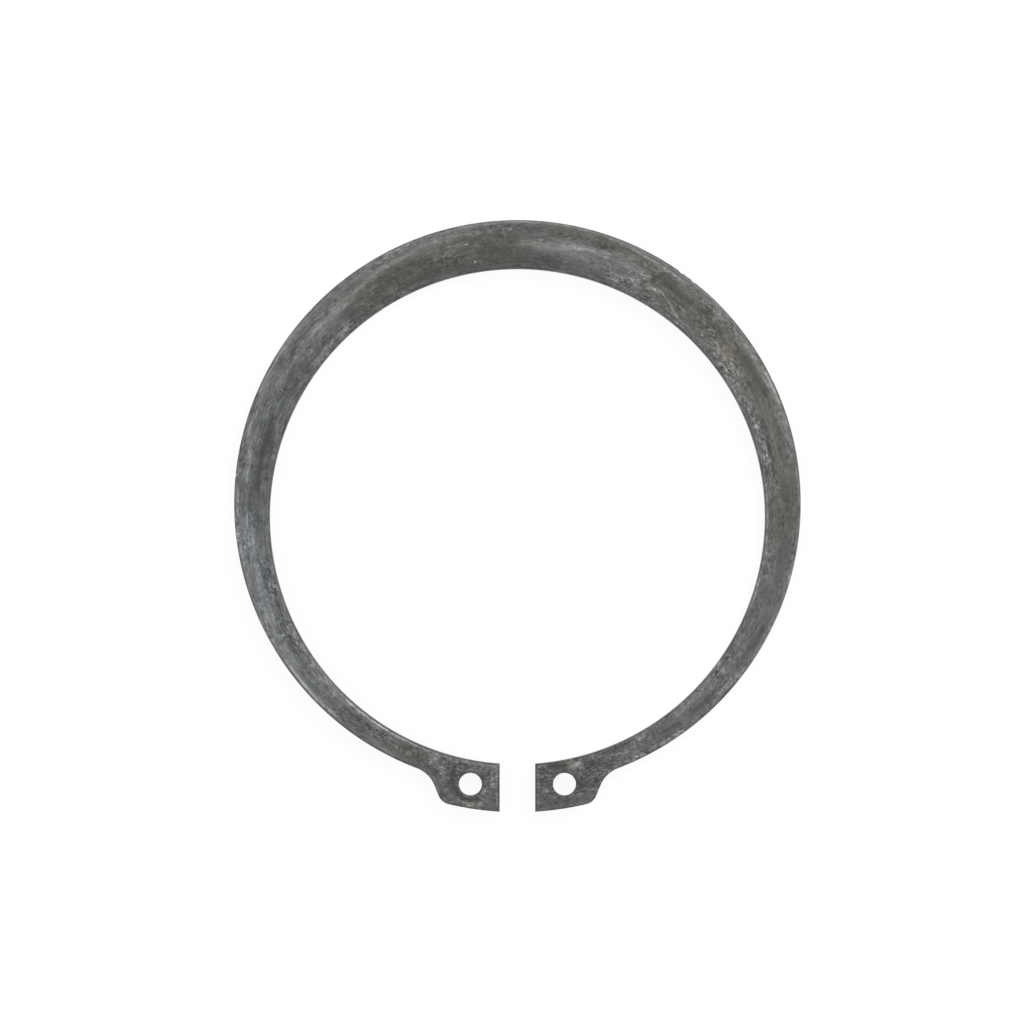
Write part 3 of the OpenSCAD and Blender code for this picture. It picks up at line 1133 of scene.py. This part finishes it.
def tinted(colour, amount, tint):
    """The colour, multiplied by a tint as far as the amount says."""
    inputs = {0: amount, 6: colour, 7: (*tint, 1)}
    return put("ShaderNodeMix", inputs, data_type="RGBA", blend_type="MULTIPLY")[2]


colour = greys["Color"]
for amount, tint in ((cool, COOL_TINT), (olive, OLIVE_TINT), (brown, BROWN_TINT)):
    colour = tinted(colour, amount, tint)

# %% Gloss, relief and the shader
GLOSSY = 0.44
DULL = 0.62
DULL_MOTTLE = 0.15
METALLIC = 0.3
SPECULAR = 0.3
RELIEF_STRENGTH = 0.25
RELIEF_DEPTH = 0.03 * MM
dullness = plus(ramp(tone, 0.1, 0.7, GLOSSY, DULL), mottle, DULL_MOTTLE)
relief = 0.0
for part, depth in ((mottle, 0.7), (streaks, 0.3), (crossing, -0.25), (marks, -0.5), (shear, 2.0)):
    relief = plus(relief, part, depth)
bump = put("ShaderNodeBump", {"Height": relief, "Strength": RELIEF_STRENGTH, "Distance": RELIEF_DEPTH})[0]
surface = put(
    "ShaderNodeBsdfPrincipled",
    {
        "Base Color": colour,
        "Roughness": dullness,
        "Normal": bump,
        "Metallic": METALLIC,
        "Specular IOR Level": SPECULAR,
    },
)[0]
put("ShaderNodeOutputMaterial", {"Surface": surface})
ring_mesh.materials.append(finish)
print("nodes in the finish:", len(tree.nodes))

# %% [markdown]
# ## Floor and light
#
# The ring lies on a white table in even, soft light. A plain white sheet would need so much light to look
# white that the ring would be too bright, so to the camera the table glows almost white by itself. The
# light that falls on it adds the rest, so the ring keeps a faint shadow where it touches. Towards the ring
# the table doesn't glow: there it throws back the light of the lamps, as a white table does. One large lamp
# stands high at the upper right, a weaker one at the left, and the white surroundings fill in.

# %% White floor, just below the ring
FLOOR_SIZE = 3.0
FLOOR_DROP = 0.03 * MM
floor_corners = np.array([(-1, -1), (1, -1), (1, 1), (-1, 1)]) * FLOOR_SIZE / 2
floor_points = np.pad(floor_corners, ((0, 0), (0, 1)), constant_values=-FLOOR_DROP)
floor_mesh = bpy.data.meshes.new("floor")
floor_mesh.from_pydata(floor_points.tolist(), [], [(0, 1, 2, 3)])
floor = bpy.data.objects.new("floor", floor_mesh)
bpy.context.scene.collection.objects.link(floor)

# %% What the camera sees of the floor, and what the ring gets from it
WHITE = (1, 1, 1, 1)
FLOOR_GLOW = 0.934
FLOOR_SHADE = 0.08
FLOOR_BOUNCE = 0.6


def when_seen(otherwise, seen):
    """One number for rays from the camera, also by way of a mirror or a pane, and another for light."""
    rays = put("ShaderNodeLightPath")
    shown = calc("MAXIMUM", rays["Is Camera Ray"], rays["Is Glossy Ray"])
    return ramp(calc("MAXIMUM", shown, rays["Is Transmission Ray"]), 0, 1, otherwise, seen)


paint = bpy.data.materials.new("white_floor")
start_tree(paint)
glow = put("ShaderNodeEmission", {"Color": WHITE, "Strength": when_seen(0.0, FLOOR_GLOW)})[0]
white = put("ShaderNodeBsdfDiffuse", {"Color": when_seen(FLOOR_BOUNCE, FLOOR_SHADE)})[0]
put("ShaderNodeOutputMaterial", {"Surface": put("ShaderNodeAddShader", {0: glow, 1: white})[0]})
floor_mesh.materials.append(paint)

# %% Surroundings and lamps
FILL_LIGHT = 0.45
world = bpy.data.worlds.new("studio")
bpy.context.scene.world = world
start_tree(world)
around = put("ShaderNodeBackground", {"Color": WHITE, "Strength": when_seen(FILL_LIGHT, 1.0)})[0]
put("ShaderNodeOutputWorld", {"Surface": around})


def lamp(name, at, size, power):
    """A square soft lamp that faces the ring."""
    light = bpy.data.lights.new(name, "AREA")
    light.size = size
    light.energy = power
    made = bpy.data.objects.new(name, light)
    made.location = at
    made.rotation_euler = (-made.location).to_track_quat("-Z", "Y").to_euler()
    bpy.context.scene.collection.objects.link(made)
    print(f"{name} lamp of {power} W, {made.location.length:.2f} m away")


lamp("key", at=(0.45, 0.55, 0.75), size=0.5, power=5.5)
lamp("fill", at=(-0.7, -0.2, 0.8), size=0.7, power=2.5)

# %% [markdown]
# ## Camera
#
# The ring is seen straight from above, from far away with a long lens, so that its walls don't show. The
# picture gives the scale: so many pixels to a millimetre of the upper face, and the pixel that the ring's
# axis falls on. Distance and place of the camera follow from these.

# %% Camera above the ring, with lens and sensor in mm
IMAGE_PX = 1024
PX_PER_MM = 6.241
AXIS_PX = (517.43, 516.68)
LENS = 200
SENSOR = 36
eye = bpy.data.cameras.new("eye")
eye.lens = LENS
eye.sensor_width = SENSOR
eye.dof.use_dof = False
span = IMAGE_PX / PX_PER_MM * MM
camera = bpy.data.objects.new("eye", eye)
camera.location = (
    (IMAGE_PX / 2 - AXIS_PX[0]) / PX_PER_MM * MM,
    (AXIS_PX[1] - IMAGE_PX / 2) / PX_PER_MM * MM,
    THICK * MM + span * LENS / SENSOR,
)
bpy.context.scene.collection.objects.link(camera)
bpy.context.scene.camera = camera
bpy.context.scene.view_settings.view_transform = "Standard"
print(f"camera {camera.location.z:.3f} m above the floor, {span / MM:.1f} mm across the picture")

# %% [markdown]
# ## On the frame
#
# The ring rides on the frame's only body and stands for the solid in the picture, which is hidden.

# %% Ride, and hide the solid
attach(ring, "root")
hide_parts(CAD_NODE)
